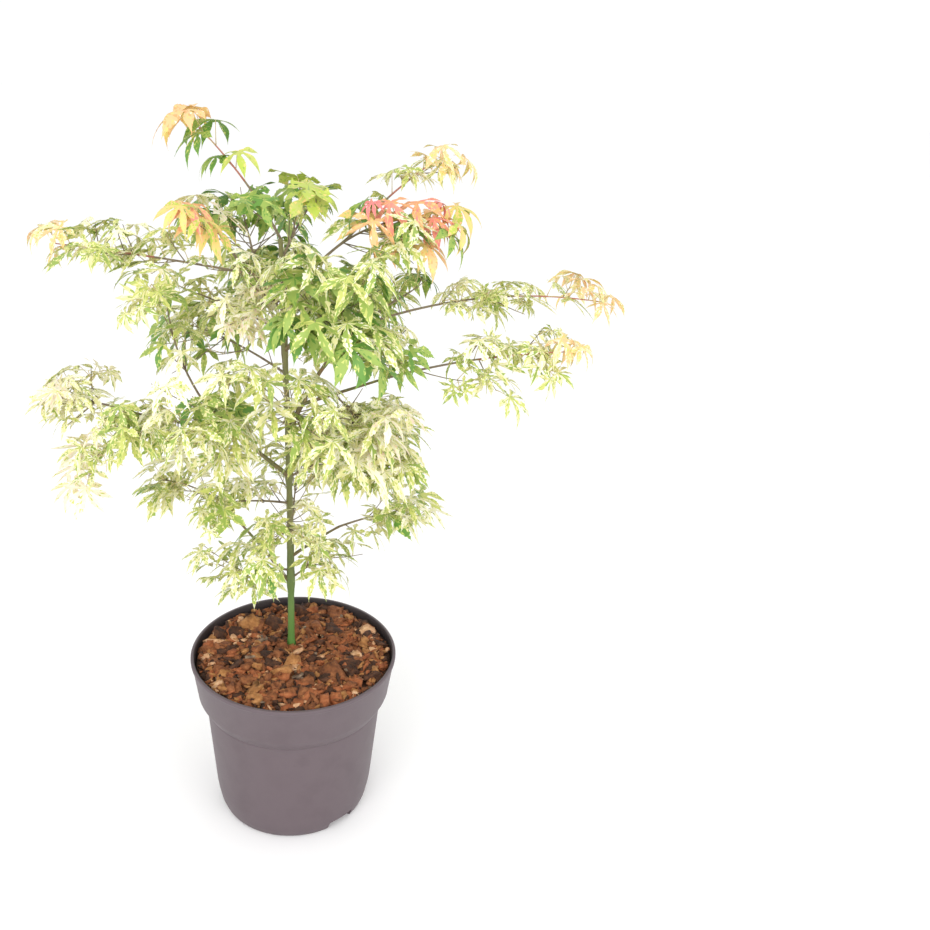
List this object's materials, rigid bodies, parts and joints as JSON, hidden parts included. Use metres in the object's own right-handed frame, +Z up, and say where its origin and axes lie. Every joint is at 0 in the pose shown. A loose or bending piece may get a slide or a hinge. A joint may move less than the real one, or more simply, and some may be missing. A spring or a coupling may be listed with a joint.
{
  "type": "potted japanese maple",
  "caption": "Young single-stemmed Japanese maple with narrow-lobed cream and green leaves, in a round taupe nursery pot topped with bark chips.",
  "frame": {"origin": "centre of the pot's flat underside", "axes": "+Z up along the pot's axis, -Y towards the viewer of the picture, +X to that viewer's right"},
  "size_m": [0.5057, 0.3249, 0.6527],
  "materials": {
    "pot_plastic": "matte",
    "bark_mix": "rough",
    "green_stem": "satin",
    "bough_bark": "satin",
    "foliage": "satin"
  },
  "bodies": {
    "root": {"pot": "pot_plastic", "bark_mix": "bark_mix", "trunk": "green_stem", "bough_right": "bough_bark", "bough_right_low": "bough_bark", "bough_left": "bough_bark", "bough_left_long": "bough_bark", "bough_left_high": "bough_bark", "bough_top_right": "bough_bark", "bough_low_left": "bough_bark", "bough_low_right": "bough_bark", "bough_front": "bough_bark", "bough_back": "bough_bark", "bough_front_high": "bough_bark", "bough_back_high": "bough_bark", "foliage_leader": "foliage", "foliage_crown": "foliage", "foliage_top_right": "foliage", "foliage_gold_right": "foliage", "foliage_pink_left": "foliage", "foliage_far_left": "foliage", "foliage_left_upright": "foliage", "foliage_left_middle": "foliage", "foliage_left_tip": "foliage", "foliage_left_hanging": "foliage", "foliage_right_long": "foliage", "foliage_right_low": "foliage", "foliage_low_left": "foliage", "foliage_foot_left": "foliage", "foliage_low_right": "foliage", "foliage_foot_right": "foliage", "foliage_mid_right": "foliage", "foliage_mid_left": "foliage", "foliage_front": "foliage", "foliage_front_high": "foliage", "foliage_back": "foliage", "foliage_back_high": "foliage", "foliage_front_left": "foliage", "foliage_back_left": "foliage", "foliage_back_right": "foliage", "foliage_front_right": "foliage", "foliage_right_middle": "foliage", "foliage_back_low": "foliage", "foliage_front_low": "foliage", "foliage_high_left": "foliage", "foliage_high_right": "foliage", "foliage_high_front": "foliage"}
  },
  "joints": []
}
